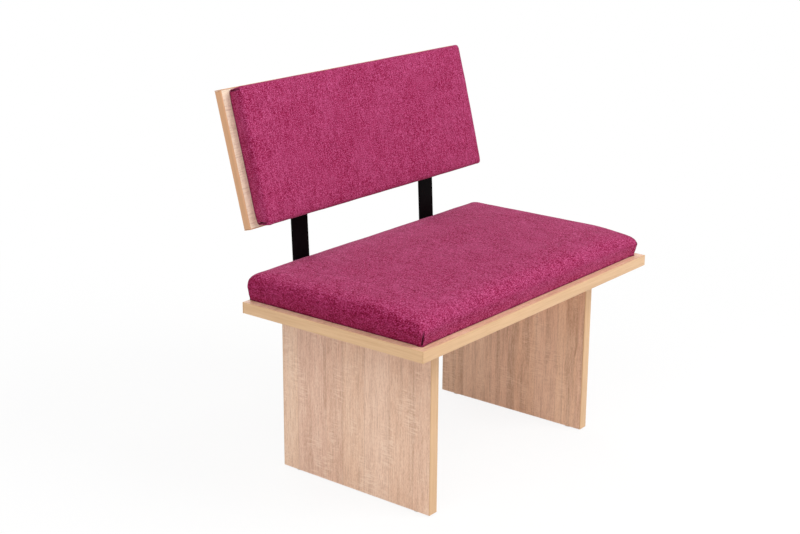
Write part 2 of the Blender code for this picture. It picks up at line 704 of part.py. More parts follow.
def make_seat_pad():
    front = SEAT_FRONT + SEAT_PAD_FRONT_MARGIN
    rear = SEAT_REAR - SEAT_PAD_REAR_MARGIN
    middle = (front + rear) / 2
    pad = Pad(
        SEAT_WIDTH - 2 * SEAT_PAD_SIDE_MARGIN, rear - front, SEAT_PAD_BASE,
        SEAT_PAD_BELLY_HEIGHT, SEAT_PAD_EDGE_HEIGHT, SEAT_PAD_CROWN,
        SEAT_PAD_BULGE, SEAT_PAD_BULGE, SEAT_PAD_REAR_BULGE,
        SEAT_PAD_EDGE_OUTSET, SEAT_PAD_CORNER, SEAT_PAD_ROLL)
    carrier = frame("seat_pad", (0, middle, SEAT_TOP + GAP))
    places = seat_pad_screw_places()
    make_pad("seat_pad", pad, carrier, [(x, y - middle) for x, y in places], SEAT_PAD_BITE)
    length = SEAT_THICKNESS + 3 * GAP + COVER_THICKNESS + SEAT_PAD_BITE
    for number, (x, y) in enumerate(places, 1):
        pan_screw(f"seat_pad_screw_{number}", Vector((x, y, SEAT_UNDERSIDE)), DOWN, length)


def make_back_pad(backrest):
    pad = Pad(
        BACK_WIDTH - 2 * BACK_PAD_SIDE_MARGIN, BACK_HEIGHT - 2 * BACK_PAD_EDGE_MARGIN, BACK_PAD_BASE,
        BACK_PAD_BELLY_HEIGHT, BACK_PAD_EDGE_HEIGHT, BACK_PAD_CROWN,
        BACK_PAD_BULGE, BACK_PAD_END_BULGE, BACK_PAD_END_BULGE,
        BACK_PAD_EDGE_OUTSET, BACK_PAD_CORNER, BACK_PAD_ROLL)
    middle = BACK_HEIGHT / 2
    carrier = frame("back_pad", (0, -BACK_THICKNESS - GAP, middle), math.pi / 2, backrest)
    places = back_pad_screw_places()
    make_pad("back_pad", pad, carrier, [(x, z - middle) for x, z in places], BACK_PAD_BITE)
    length = BACK_THICKNESS + 3 * GAP + COVER_THICKNESS + BACK_PAD_BITE
    for number, (x, z) in enumerate(places, 1):
        pan_screw(f"back_pad_screw_{number}", Vector((x, 0, z)), BACKWARD, length, backrest)


def main():
    make_seat_board()
    make_rail()
    backrest = frame("backrest", (0, SEAT_REAR + BACK_OFFSET, BACK_BASE), -RECLINE)
    make_back_board(backrest)
    for side, sign in SIDES:
        make_leg(side, sign)
        make_bar(side, sign, backrest)
    make_seat_pad()
    make_back_pad(backrest)
    bpy.context.view_layer.update()


empty_scene()
PARTS = collection("upholstered_bench")
CUTTERS = collection("cutters")
LAMINATE = finish("oak_laminate", (0.68, 0.46, 0.33), 0.5)
EDGE_BAND = finish("edge_band", (0.72, 0.49, 0.29), 0.45)
BAR_STEEL = finish("black_steel", (0.012, 0.011, 0.011), 0.4)
SCREW_STEEL = finish("zinc_steel", (0.6, 0.6, 0.6), 0.35, 1.0)
FABRIC = finish("raspberry_fabric", (0.42, 0.05, 0.14), 0.9)
FOAM = finish("foam", (0.8, 0.74, 0.55), 0.95)
PAD_BOARD = finish("pad_board", (0.5, 0.34, 0.2), 0.7)
DOWEL_WOOD = finish("beech", (0.62, 0.42, 0.25), 0.6)
GLIDE_PLASTIC = finish("glide_plastic", (0.80, 0.78, 0.72), 0.5)
main()
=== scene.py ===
"""Looks of a padded bench: laminated boards, bent steel bars and two fabric cushions.

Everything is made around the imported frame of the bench, in metres and in that frame's axes:
the bench faces -Y, its width runs along X and +Z is up.
"""
import math
from collections import namedtuple
from contextlib import contextmanager

import bmesh
import bpy
from mathutils import Euler, Matrix, Vector


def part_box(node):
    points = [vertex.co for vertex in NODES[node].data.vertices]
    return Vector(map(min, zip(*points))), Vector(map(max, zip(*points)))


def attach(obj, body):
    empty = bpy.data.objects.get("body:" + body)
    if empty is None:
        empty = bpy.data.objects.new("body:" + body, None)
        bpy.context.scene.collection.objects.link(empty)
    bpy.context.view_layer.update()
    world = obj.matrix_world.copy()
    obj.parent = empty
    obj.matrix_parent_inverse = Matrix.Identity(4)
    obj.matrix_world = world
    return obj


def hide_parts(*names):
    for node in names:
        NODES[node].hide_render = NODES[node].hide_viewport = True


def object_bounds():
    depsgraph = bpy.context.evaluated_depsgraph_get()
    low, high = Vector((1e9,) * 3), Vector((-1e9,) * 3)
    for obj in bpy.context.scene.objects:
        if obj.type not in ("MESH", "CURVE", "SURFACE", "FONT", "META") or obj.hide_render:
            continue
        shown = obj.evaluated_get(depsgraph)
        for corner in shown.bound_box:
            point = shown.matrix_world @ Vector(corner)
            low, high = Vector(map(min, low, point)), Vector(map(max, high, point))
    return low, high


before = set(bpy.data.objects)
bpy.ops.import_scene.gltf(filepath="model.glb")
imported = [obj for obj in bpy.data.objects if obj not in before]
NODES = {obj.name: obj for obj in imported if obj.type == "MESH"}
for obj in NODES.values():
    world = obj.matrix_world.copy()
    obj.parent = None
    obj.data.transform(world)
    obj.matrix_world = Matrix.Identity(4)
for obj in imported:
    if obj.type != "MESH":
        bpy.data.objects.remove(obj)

bl_info = {
    "name": "Padded bench looks",
    "version": (1, 0, 0),
    "blender": (4, 5, 0),
    "location": "View3D > Sidebar > Bench",
    "description": "Dresses the frame of a padded bench and sets it on a plain stage",
    "category": "Object",
}

CAD_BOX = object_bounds()
BODY = "root"

MERGE_DISTANCE = 0.00001
FLAT_ANGLE = math.radians(0.5)
SMOOTH_ANGLE = math.radians(35)

HIDDEN_BOARDS = ("seat_pad_base", "back_pad_base")
DOWELS = [f"rail_dowel_{side}_{row}" for side in ("left", "right") for row in ("upper", "lower")]
BARS = ("back_bar_left", "back_bar_right")
SEAT_SCREWS = [f"leg_screw_{side}_{n}" for side in ("left", "right") for n in (1, 2, 3)]
SEAT_SCREWS += ["rail_screw_left", "rail_screw_right"]
SCREWS_UP = [f"bar_screw_seat_{side}_{n}" for side in ("left", "right") for n in (1, 2, 3)]
SCREWS_UP += [f"seat_pad_screw_{n}" for n in (1, 2, 3, 4)]
SCREWS_FORWARD = [f"bar_screw_back_{side}_{n}" for side in ("left", "right") for n in (1, 2)]
SCREWS_FORWARD += [f"back_pad_screw_{n}" for n in (1, 2, 3, 4)]
GLIDES = [f"glide_{side}_{end}" for side in ("left", "right") for end in ("front", "rear")]

LEFT = Vector((-1, 0, 0))
RIGHT = Vector((1, 0, 0))
FORWARD = Vector((0, -1, 0))
BACKWARD = Vector((0, 1, 0))
UP = Vector((0, 0, 1))
DOWN = Vector((0, 0, -1))


def back_lean():
    """How far the back leans, read from the largest face of its board."""
    widest = max(NODES["back_board"].data.polygons, key=lambda face: face.area)
    return math.asin(abs(widest.normal.z))


# Frames in which the pieces lie square: upright, leaning with the back, and flat on the back board
UPRIGHT = Matrix.Identity(4)
LEANING = Matrix.Rotation(-back_lean(), 4, "X")
ON_BACK = Matrix.Rotation(math.radians(90) - back_lean(), 4, "X")

# Each oak board: the turn that lays its grain on X, its shares of painted light and of painted warmer
# bounce light, how bold its figure is
BOARDS = (
    ("seat_board", (0, 0, 0), 0.0, 0.8, 1.0),
    ("rail", (math.radians(-90), 0, 0), 0.0, 0.0, 1.0),
    ("back_board", (back_lean() - math.radians(90), 0, 0), 0.8, 0.0, 1.0),
    ("leg_panel_left", (0, math.radians(90), 0), 0.0, 0.0, 0.7),
    ("leg_panel_right", (0, math.radians(90), 0), 0.1, 1.0, 1.9),
)

# Each edge band with the way it faces, the frame it lies square in and the way its streaks run
EDGE_BANDS = (
    ("seat_band_front", FORWARD, UPRIGHT, "X"),
    ("seat_band_rear", BACKWARD, UPRIGHT, "X"),
    ("seat_band_left", LEFT, UPRIGHT, "Y"),
    ("seat_band_right", RIGHT, UPRIGHT, "Y"),
    ("leg_band_front_left", FORWARD, UPRIGHT, "Z"),
    ("leg_band_front_right", FORWARD, UPRIGHT, "Z"),
    ("leg_band_rear_left", BACKWARD, UPRIGHT, "Z"),
    ("leg_band_rear_right", BACKWARD, UPRIGHT, "Z"),
    ("rail_band", DOWN, UPRIGHT, "X"),
    ("back_band_top", UP, LEANING, "X"),
    ("back_band_bottom", DOWN, LEANING, "X"),
    ("back_band_left", LEFT, LEANING, "Z"),
    ("back_band_right", RIGHT, LEANING, "Z"),
)


def length_property(name, description, default, least=0.0):
    return bpy.props.FloatProperty(
        name=name, description=description, default=default, min=least, precision=4,
        subtype="DISTANCE", unit="LENGTH")


def share_property(name, description, default):
    return bpy.props.FloatProperty(
        name=name, description=description, default=default, min=0.0, max=2.0, subtype="FACTOR")


def colour_property(name, description, default):
    return bpy.props.FloatVectorProperty(
        name=name, description=description, default=default, size=3, min=0.0, max=1.0,
        subtype="COLOR")


class BenchSizes(bpy.types.PropertyGroup):
    """Sizes of the details that the frame leaves to the looks."""
    band_rounding: length_property("Band rounding", "Radius of the edge bands' outer edges", 0.0012)
    cushion_cell: length_property("Cushion cell", "Mesh size of a cushion while it swells", 0.0052)
    cushion_skirt: length_property(
        "Skirt", "How far a cushion runs past its base while it swells, to be cut off later", 0.012)
    cushion_held: length_property(
        "Held hem", "Height above the board up to which a cushion's fabric is held", 0.003)
    cushion_cap: length_property("Swell cap", "Furthest that a point of a cushion swells", 0.006)
    cushion_give: share_property(
        "Give", "Share of the swelling that the firm foam under the fabric allows", 0.25)
    cushion_fullness: length_property(
        "Fullness", "How far a cushion's sides and top stand out past its cover's box", 0.0012)
    # Painted shade: height of the darkened band at the foot of a cushion
    hem_shade_height: length_property(
        "Hem", "Height of the darker hem where the fabric turns in under a cushion", 0.005)
    seat_slack: length_property(
        "Seat slack", "How much smaller than its cover the seat cushion starts", 0.004)
    back_slack: length_property(
        "Back slack", "How much smaller than its cover the back cushion starts", 0.003)
    unevenness: length_property("Unevenness", "Height of the slow waves in the cushions' faces", 0.0018)
    wave_length: length_property("Wave length", "Size of the slow waves in the cushions' faces", 0.11)
    back_rise: length_property(
        "Back rise", "How far the back cushion's lower edge stays above the board's", 0.0012)
    corner_reach: length_property(
        "Corner reach", "How far from its corners the top of a cushion starts to fall", 0.12)
    seat_front_drop: length_property(
        "Seat front drop", "How far the seat's top falls at its front corners", 0.0105)
    seat_rear_drop: length_property(
        "Seat rear drop", "How far the seat's top falls at its rear corners", 0.0005)
    back_drop: length_property("Back drop", "How far the back cushion's face falls at its corners", 0.001)
    hem_reach: length_property(
        "Hem reach", "How far from its corners a cushion's hem is spread or drawn in", 0.03)
    seat_spread: length_property(
        "Seat spread", "How far the folded fabric spreads the seat's hem at its front corners", 0.006)
    back_draw: length_property(
        "Back draw", "How far the back cushion's hem is drawn in at its corners", 0.003)
    pleat_width: length_property("Pleat width", "Width of the fold at a cushion's corner", 0.0021)
    pleat_depth: length_property("Pleat depth", "Depth of the fold at a cushion's corner", 0.0035)
    pleat_lip: length_property("Pleat lip", "How far the folded edge stands proud beside the slit", 0.0008)
    seat_pleat: length_property("Seat pleat", "Height of the corner folds of the seat cushion", 0.036)
    back_pleat: length_property("Back pleat", "Height of the corner folds of the back cushion", 0.034)
    seat_pleat_lean: length_property(
        "Seat pleat lean", "How far the seat's corner folds lean towards the ends", -0.0045, least=-0.02)
    back_pleat_lean: length_property(
        "Back pleat lean", "How far the back's corner folds lean towards the ends", 0.003, least=-0.02)
    pan_head: length_property("Pan head", "Diameter of a pan head", 0.0095)
    pan_head_height: length_property("Pan head height", "Height of a pan head", 0.003)
    pan_shank: length_property("Pan shank", "Diameter of a pan head screw's shank", 0.0045)
    seat_head: length_property("Seat screw head", "Diameter of a sunk screw head", 0.010)
    seat_head_height: length_property("Seat head height", "Height of a sunk head", 0.004)
    seat_shank: length_property("Seat shank", "Diameter of a sunk screw's shank", 0.0065)
    screw_tip: length_property("Screw tip", "Length of a screw's point", 0.003)
    glide: length_property("Glide", "Diameter of a floor glide", 0.020)
    glide_height: length_property("Glide height", "Height of a glide under the leg", 0.003)
    glide_pin: length_property("Glide pin", "Diameter of a glide's nail", 0.003)


class BenchColours(bpy.types.PropertyGroup):
    """Colours of the finishes, as linear values."""
    fabric: colour_property("Fabric", "Middle tone of the pile fabric", (0.385, 0.021, 0.096))
    fabric_light: colour_property("Fabric light", "Tips of the pile", (0.60, 0.115, 0.28))
    fabric_dark: colour_property("Fabric dark", "Depth of the pile", (0.16, 0.002, 0.026))
    # Painted shade: multiplied into the pile where a cushion faces its ends
    fabric_end_shade: colour_property("Fabric end", "Tint of the pile at the cushions' ends", (0.76, 0.44, 0.60))
    fabric_fold_shade: colour_property("Fabric fold", "Shade in the folds and the hem", (0.02, 0.001, 0.006))
    oak_pink: colour_property("Oak pink", "Rosy strips of the oak decor", (0.85, 0.53, 0.385))
    oak_yellow: colour_property("Oak yellow", "Yellow strips of the oak decor", (0.87, 0.565, 0.38))
    oak_light: colour_property("Oak light", "Palest grain of the oak decor", (0.92, 0.70, 0.54))
    oak_dark: colour_property("Oak dark", "Darkest grain of the oak decor", (0.42, 0.205, 0.115))
    # Painted light: a lighter tone mixed into some boards to lighten them as if more light fell on them
    oak_painted_light: colour_property("Oak cream", "Tone of the paler oak boards", (0.99, 0.86, 0.65))
    # Painted light: a warmer tint for a shaded board face, standing in for warmer bounced light
    oak_painted_bounce: colour_property("Oak warm", "Tint of the warmer oak boards", (1.0, 0.94, 0.88))
    band: colour_property("Band", "Middle tone of the edge bands", (0.75, 0.485, 0.27))
    band_back: colour_property("Back band", "Middle tone of the back's edge bands", (0.69, 0.375, 0.20))
    band_dark: colour_property("Band dark", "Streaks of the edge bands", (0.50, 0.27, 0.12))
    steel: colour_property("Coated steel", "Powder coat of the bars", (0.0028, 0.002, 0.0023))
    steel_dust: colour_property("Dust", "Dust on the bars' coat", (0.008, 0.006, 0.007))
    zinc: colour_property("Zinc", "Plating of the screws", (0.62, 0.61, 0.58))
    zinc_tarnish: colour_property("Tarnish", "Tarnish on the plating", (0.40, 0.38, 0.33))
    chipboard: colour_property("Chipboard", "Raw board", (0.50, 0.34, 0.20))
    chips: colour_property("Chips", "Darkest chips of the raw board", (0.30, 0.19, 0.10))
    beech: colour_property("Beech", "Dowels", (0.62, 0.42, 0.25))
    beech_fleck: colour_property("Beech flecks", "Flecks along the dowels", (0.40, 0.23, 0.12))
    plastic: colour_property("Plastic", "Floor glides", (0.80, 0.78, 0.72))
    plastic_scuff: colour_property("Scuffs", "Scuffs on the floor glides", (0.60, 0.57, 0.50))
    floor: colour_property("Floor", "Studio floor, as the camera sees it", (0.96, 0.96, 0.96))
    floor_bounce: colour_property("Floor bounce", "Light that the floor gives back", (0.85, 0.85, 0.85))


def sizes():
    return bpy.context.scene.bench_sizes


def colours():
    return bpy.context.scene.bench_colours


def deselect():
    bpy.ops.object.select_all(action="DESELECT")


def activate(piece):
    deselect()
    piece.select_set(True)
    bpy.context.view_layer.objects.active = piece


@contextmanager
def editing(piece):
    """Edit mode on one piece, with nothing of it selected."""
    activate(piece)
    bpy.ops.object.mode_set(mode="EDIT")
    bpy.ops.mesh.select_all(action="DESELECT")
    yield
    bpy.ops.object.mode_set(mode="OBJECT")


def choose(piece, kind, wanted):
    """Select, in edit mode, the edges or faces that pass a test."""
    bpy.ops.mesh.select_mode(type=kind)
    mesh = bmesh.from_edit_mesh(piece.data)
    for part in (mesh.edges if kind == "EDGE" else mesh.faces):
        part.select_set(wanted(part))
    mesh.select_flush_mode()
    bmesh.update_edit_mesh(piece.data)


def on_plane(height):
    """A test for edges or faces that lie at a height."""
    return lambda part: all(abs(end.co.z - height) < MERGE_DISTANCE for end in part.verts)


def named(name):
    """Give the object that was just added its name."""
    piece = bpy.context.object
    piece.name = name
    piece.data.name = name
    return piece


def add_piece(name, mesh):
    """A new object around a mesh of its own."""
    piece = bpy.data.objects.new(name, mesh)
    piece.data.name = name
    bpy.context.scene.collection.objects.link(piece)
    return piece


def discard(piece):
    bpy.data.objects.remove(piece, do_unlink=True)


def apply(piece, modifier):
    activate(piece)
    bpy.ops.object.modifier_apply(modifier=modifier.name)


def draw_out(height):
    """Extrude the selected faces along Z."""
    bpy.ops.mesh.extrude_region_move(TRANSFORM_OT_translate={"value": (0, 0, height)})


def smooth(piece):
    activate(piece)
    bpy.ops.object.shade_smooth_by_angle(angle=SMOOTH_ANGLE)


def box_of(points):
    """The lowest and highest corners of a group of points."""
    low = Vector([min(point[axis] for point in points) for axis in range(3)])
    high = Vector([max(point[axis] for point in points) for axis in range(3)])
    return low, high


def extent(node, turn):
    """The lowest and highest corners of a node along the axes of a turned frame."""
    inward = turn.inverted()
    return box_of([inward @ vertex.co for vertex in NODES[node].data.vertices])


def stand_for(piece, nodes, material):
    """Fix a new piece to the bench in the place of the nodes that it shows."""
    piece.data.materials.clear()
    piece.data.materials.append(material)
    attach(piece, BODY)
    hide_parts(*nodes)


def dress(nodes, material):
    """Give nodes whose shape is right a better material."""
    for node in nodes:
        shown = NODES[node]
        shown.data.materials.clear()
        shown.data.materials.append(material)


def merged_copy(node, name):
    """A copy of a node with its loose triangles joined."""
    piece = add_piece(name, NODES[node].data.copy())
    with editing(piece):
        bpy.ops.mesh.select_all(action="SELECT")
        bpy.ops.mesh.remove_doubles(threshold=MERGE_DISTANCE)
        bpy.ops.mesh.dissolve_limited(angle_limit=FLAT_ANGLE)
    return piece


# In the finishes, scales are in cells per metre, and a tone's share is how much of it is mixed in
class Finish:
    """A material and the nodes that make it, added one at a time."""

    def __init__(self, name):
        self.material = bpy.data.materials.new(name)
        self.material.use_nodes = True
        self.tree = self.material.node_tree
        self.shader = self.tree.nodes["Principled BSDF"]
        self.place = self.tree.nodes.new("ShaderNodeTexCoord").outputs["Object"]

    def add(self, kind, inputs, **settings):
        """A node with its settings, whose inputs are values or other nodes' outputs."""
        node = self.tree.nodes.new(kind)
        for setting, value in settings.items():
            setattr(node, setting, value)
        for socket, value in inputs.items():
            self.set(node, socket, value)
        return node

    def set(self, node, socket, value):
        if isinstance(value, bpy.types.NodeSocket):
            self.tree.links.new(value, node.inputs[socket])
        else:
            node.inputs[socket].default_value = value

    def stretched(self, where, scale):
        return self.add("ShaderNodeMapping", {"Vector": where, "Scale": scale}).outputs[0]

    def turned(self, turn, scale):
        """The piece's own coordinates, turned and then stretched."""
        turned = self.add("ShaderNodeMapping", {"Vector": self.place, "Rotation": turn})
        return self.stretched(turned.outputs[0], scale)

    def noise(self, where, scale, detail=2.0, roughness=0.5):
        node = self.add("ShaderNodeTexNoise", {
            "Vector": where, "Scale": scale, "Detail": detail, "Roughness": roughness})
        return node.outputs["Fac"]

    def cells(self, where):
        return self.add("ShaderNodeTexVoronoi", {"Vector": where, "Scale": 1.0})

    def mark(self, name):
        """A value that the piece's own points carry."""
        return self.add("ShaderNodeAttribute", {}, attribute_name=name).outputs["Fac"]

    def maths(self, operation, first, second):
        return self.add("ShaderNodeMath", {0: first, 1: second}, operation=operation).outputs[0]

    def times(self, first, second):
        return self.maths("MULTIPLY", first, second)

    def spread(self, value, low, high, to_low=0.0, to_high=1.0):
        """Stretch a range of a value to another range, and clamp it there."""
        node = self.add("ShaderNodeMapRange", {
            "Value": value, "From Min": low, "From Max": high, "To Min": to_low, "To Max": to_high})
        return node.outputs[0]

    def mix(self, share, first, second, way="MIX"):
        node = self.add("ShaderNodeMix", {}, data_type="RGBA", blend_type=way)
        self.set(node, "Factor", share)
        for socket, colour in ((node.inputs[6], first), (node.inputs[7], second)):
            if isinstance(colour, bpy.types.NodeSocket):
                self.tree.links.new(colour, socket)
            else:
                socket.default_value = (*colour, 1.0)
        return node.outputs[2]

    def layers(self, colour, *coats):
        """Mix tones over a colour one after another, each by its own share."""
        for share, tone in coats:
            colour = self.mix(share, colour, tone)
        return colour

    def vary(self, colour, value, reach, light, dark):
        """Mix in a light tone where a value is past its middle, and a dark one where it falls short."""
        middle = 0.5
        return self.layers(
            colour,
            (self.spread(value, middle, middle + reach, 0.0, light[1]), light[0]),
            (self.spread(value, middle, middle - reach, 0.0, dark[1]), dark[0]))

    def bump(self, height, strength, distance):
        node = self.add(
            "ShaderNodeBump", {"Height": height, "Strength": strength, "Distance": distance})
        self.set(self.shader, "Normal", node.outputs[0])

    def surface(self, **inputs):
        """Values on the shader's own sockets, with underscores for spaces."""
        for socket, value in inputs.items():
            self.set(self.shader, socket.replace("_", " "), value)
        return self.material


def grain_turn(axis):
    """The turn that lays a grain along an axis on X."""
    return {
        "X": (0, 0, 0),
        "Y": (0, 0, math.radians(-90)),
        "Z": (0, math.radians(90), 0)}[axis]


def oak_laminate(name, turn, painted_light_share, painted_bounce_share, figure):
    """Pale sawn oak decor: strips of different tones, short fibres, dark bundles and saw marks."""
    tones = colours()
    oak = Finish(name)
    along = oak.turned(turn, (1, 1, 1))
    sway = oak.maths("SUBTRACT", oak.noise(oak.stretched(along, (4, 9, 9)), 1.0, 2), 0.5)
    offset = oak.add("ShaderNodeCombineXYZ", {
        "Y": oak.times(sway, 0.03), "Z": oak.times(sway, 0.03)})
    wavy = oak.add(
        "ShaderNodeVectorMath", {0: along, 1: offset.outputs[0]}, operation="ADD").outputs[0]

    def lines(where, scale, detail, roughness=0.55):
        return oak.noise(oak.stretched(where, scale), 1.0, detail, roughness)

    place = oak.add("ShaderNodeSeparateXYZ", {"Vector": along}).outputs
    across = oak.maths("ADD", place["Y"], oak.times(place["Z"], 2.3))
    across = oak.maths("ADD", across, oak.times(sway, 0.006))
    strips, borders = (
        oak.add(
            "ShaderNodeTexVoronoi", {"W": across, "Scale": 15.0}, voronoi_dimensions="1D", feature=feature)
        for feature in ("F1", "DISTANCE_TO_EDGE"))
    light, dark = tones.oak_light, tones.oak_dark
    tint = oak.add("ShaderNodeSeparateColor", {"Color": strips.outputs["Color"]}).outputs
    broad = lines(wavy, (1.3, 34, 34), 3, 0.6)
    colour = oak.mix(oak.spread(tint[0], 0.2, 0.8), tones.oak_pink, tones.oak_yellow)
    colour = oak.layers(
        colour,
        (oak.spread(tint[1], 0.3, 1.0, 0.0, 0.36), light),
        (oak.spread(tint[1], 0.45, 0.0, 0.0, 0.24), dark),
        (oak.spread(broad, 0.5, 0.7, 0.0, 0.32 * figure), light),
        (oak.spread(broad, 0.5, 0.32, 0.0, 0.36 * figure), dark),
        # Painted light: a share of a lighter tone, as if the board were more lit
        (painted_light_share, tones.oak_painted_light))
    fibres = lines(wavy, (17, 340, 340), 4, 0.72)
    colour = oak.vary(colour, fibres, 0.16, (light, 0.62), (dark, 0.42))
    flecks = lines(along, (150, 620, 620), 3, 0.7)
    colour = oak.vary(colour, flecks, 0.12, (light, 0.34), (dark, 0.26))
    seams = oak.times(oak.spread(borders.outputs["Distance"], 0.03, 0.0), fibres)
    bundles = oak.spread(lines(wavy, (2.2, 70, 70), 4, 0.65), 0.56, 0.70)
    dashes = oak.spread(lines(wavy, (44, 560, 560), 2), 0.5, 0.64)
    pores = oak.times(bundles, dashes)
    patches = oak.spread(lines(along, (9, 16, 16), 2), 0.50, 0.60)
    ladder = lines(along, (330, 46, 46), 2)
    sawn = oak.times(patches, oak.spread(ladder, 0.50, 0.62))
    between = oak.times(patches, oak.spread(ladder, 0.50, 0.38))
    colour = oak.layers(
        colour,
        (oak.times(seams, 0.6), dark),
        (oak.times(bundles, 0.24 * figure), dark),
        (oak.times(pores, 0.45), dark),
        (oak.times(sawn, 0.50), light),
        (oak.times(between, 0.14), dark))
    # Painted warmer bounce light, by each board's share; the right leg's shaded inner face takes it all
    colour = oak.mix(painted_bounce_share, colour, tones.oak_painted_bounce, "MULTIPLY")
    relief = oak.maths("SUBTRACT", oak.times(sawn, 0.4), pores)
    oak.bump(relief, 0.25, 0.0003)
    return oak.surface(
        Base_Color=colour, Roughness=oak.spread(fibres, 0.3, 0.7, 0.42, 0.54), Specular_IOR_Level=0.9)


def edge_band_finish(name, tone, axis, lean=0.0):
    """Smooth plastic band with a fine wood print along its length."""
    tones = colours()
    band = Finish(name)
    turn = grain_turn(axis)
    upright = band.add("ShaderNodeMapping", {"Vector": band.place, "Rotation": (lean, 0, 0)})
    band.place = upright.outputs[0]
    broad = band.spread(band.noise(band.turned(turn, (3, 110, 110)), 1.0, 3), 0.45, 0.68)
    fine = band.spread(band.noise(band.turned(turn, (12, 420, 420)), 1.0, 4, 0.65), 0.47, 0.68)
    colour = band.mix(band.times(broad, 0.24), tone, tones.band_dark)
    colour = band.mix(band.times(fine, 0.34), colour, tones.band_dark)
    band.bump(fine, 0.08, 0.0002)
    return band.surface(Base_Color=colour, Roughness=band.spread(fine, 0, 1, 0.40, 0.48))


def pile_fabric(name, turn, weave, mottle, end_share):
    """Short pile fabric: yarn rows, mottled tufts, brushed clouds, and painted shade in folds, hem and
    ends.
    """
    tones = colours()
    pile = Finish(name)
    lay = turn.inverted().to_euler()
    flat = pile.turned(lay, (1, 1, 1))
    tufts = pile.cells(pile.turned(lay, (300, 430, 400))).outputs["Distance"]
    fuzz = pile.noise(flat, 1500.0, 3, 0.7)
    flecks = pile.noise(pile.turned(lay, weave), 1.0, 3, 0.7)
    rows = pile.noise(pile.turned(lay, (330, 40, 120)), 1.0, 2)
    drift = pile.noise(pile.turned(lay, (60, 38, 50)), 1.0, 4, 0.65)
    clouds = pile.noise(flat, 10.0, 3, 0.6)
    light, dark = tones.fabric_light, tones.fabric_dark
    colour = pile.vary(tones.fabric, flecks, 0.10, (light, 1.0), (dark, 1.0))
    colour = pile.vary(colour, rows, 0.18, (light, 0.24), (dark, 0.24))
    colour = pile.layers(
        colour,
        (pile.spread(drift, 0.48, 0.72, 0.0, mottle), light),
        (pile.spread(drift, 0.52, 0.28, 0.0, mottle), dark),
        (pile.spread(clouds, 0.45, 0.75, 0.0, 0.22), light),
        (pile.spread(tufts, 0.40, 0.90, 0.0, 0.36), dark))
    # Painted shade on the cushions' ends, by how far each point faces along X
    ends = pile.times(pile.mark("end"), end_share)
    colour = pile.mix(ends, colour, tones.fabric_end_shade, "MULTIPLY")
    # Painted shade in the pleats' slits and along the hem
    colour = pile.mix(pile.mark("fold"), colour, tones.fabric_fold_shade)
    height = pile.maths("SUBTRACT", pile.times(fuzz, 0.6), tufts)
    pile.bump(height, 0.55, 0.0012)
    return pile.surface(
        Base_Color=colour, Roughness=0.95, Specular_IOR_Level=0.05, Sheen_Weight=0.20,
        Sheen_Roughness=0.3, Sheen_Tint=(1.0, 0.6, 0.8, 1.0))


def powder_coat(name):
    """Satin black coat with a fine orange peel."""
    coat = Finish(name)
    peel = coat.noise(coat.place, 900.0, 2)
    dust = coat.spread(coat.noise(coat.place, 60.0, 4, 0.6), 0.4, 0.7)
    colour = coat.mix(coat.times(dust, 0.3), colours().steel, colours().steel_dust)
    coat.bump(peel, 0.12, 0.0003)
    return coat.surface(
        Base_Color=colour, Roughness=coat.spread(dust, 0, 1, 0.36, 0.46), Specular_IOR_Level=0.02)


def zinc_plate(name):
    """Plated steel with faint turning marks and a little tarnish."""
    plate = Finish(name)
    tarnish = plate.spread(plate.noise(plate.place, 240.0, 3), 0.35, 0.7)
    marks = plate.noise(plate.place, 2600.0, 1)
    colour = plate.mix(plate.times(tarnish, 0.35), colours().zinc, colours().zinc_tarnish)
    plate.bump(marks, 0.06, 0.0002)
    return plate.surface(
        Base_Color=colour, Metallic=1.0, Roughness=plate.spread(tarnish, 0, 1, 0.30, 0.45))


def chipboard(name):
    """Raw board of pressed chips."""
    board = Finish(name)
    chips = board.cells(board.turned((0, 0, 0), (260, 420, 420)))
    tone = board.add("ShaderNodeSeparateColor", {"Color": chips.outputs["Color"]}).outputs[0]
    colour = board.mix(board.times(tone, 0.6), colours().chipboard, colours().chips)
    board.bump(chips.outputs["Distance"], 0.3, 0.0006)
    return board.surface(Base_Color=colour, Roughness=0.85)


def beech(name):
    """Turned beech with short flecks along the dowel."""
    wood = Finish(name)
    flecks = wood.spread(wood.noise(wood.turned((0, 0, 0), (60, 900, 900)), 1.0, 2), 0.55, 0.7)
    colour = wood.mix(wood.times(flecks, 0.4), colours().beech, colours().beech_fleck)
    wood.bump(flecks, 0.15, 0.0002)
    return wood.surface(Base_Color=colour, Roughness=0.7)


def moulded_plastic(name):
    """Natural white plastic with a fine moulded grain."""
    plastic = Finish(name)
    grain = plastic.noise(plastic.place, 1800.0, 2)
    scuffs = plastic.spread(plastic.noise(plastic.place, 260.0, 3), 0.5, 0.75)
    colour = plastic.mix(plastic.times(scuffs, 0.4), colours().plastic, colours().plastic_scuff)
    plastic.bump(grain, 0.2, 0.0003)
    return plastic.surface(Base_Color=colour, Roughness=plastic.spread(scuffs, 0, 1, 0.5, 0.7))


def model_band(node, outward, turn, rounding):
    """An edge band as a strip whose outer edges are rounded over."""
    low, high = extent(node, turn)
    deselect()
    bpy.ops.mesh.primitive_cube_add(size=1, location=(low + high) / 2, scale=high - low)
    band = named(f"{node}_strip")
    bpy.ops.object.transform_apply(location=True, rotation=False, scale=True)
    reach = max(vertex.co.dot(outward) for vertex in band.data.vertices) - MERGE_DISTANCE
    with editing(band):
        choose(band, "EDGE", lambda edge: all(end.co.dot(outward) > reach for end in edge.verts))
        bpy.ops.mesh.bevel(offset=rounding, segments=4, affect="EDGES")
    smooth(band)
    band.data.transform(turn)
    return band


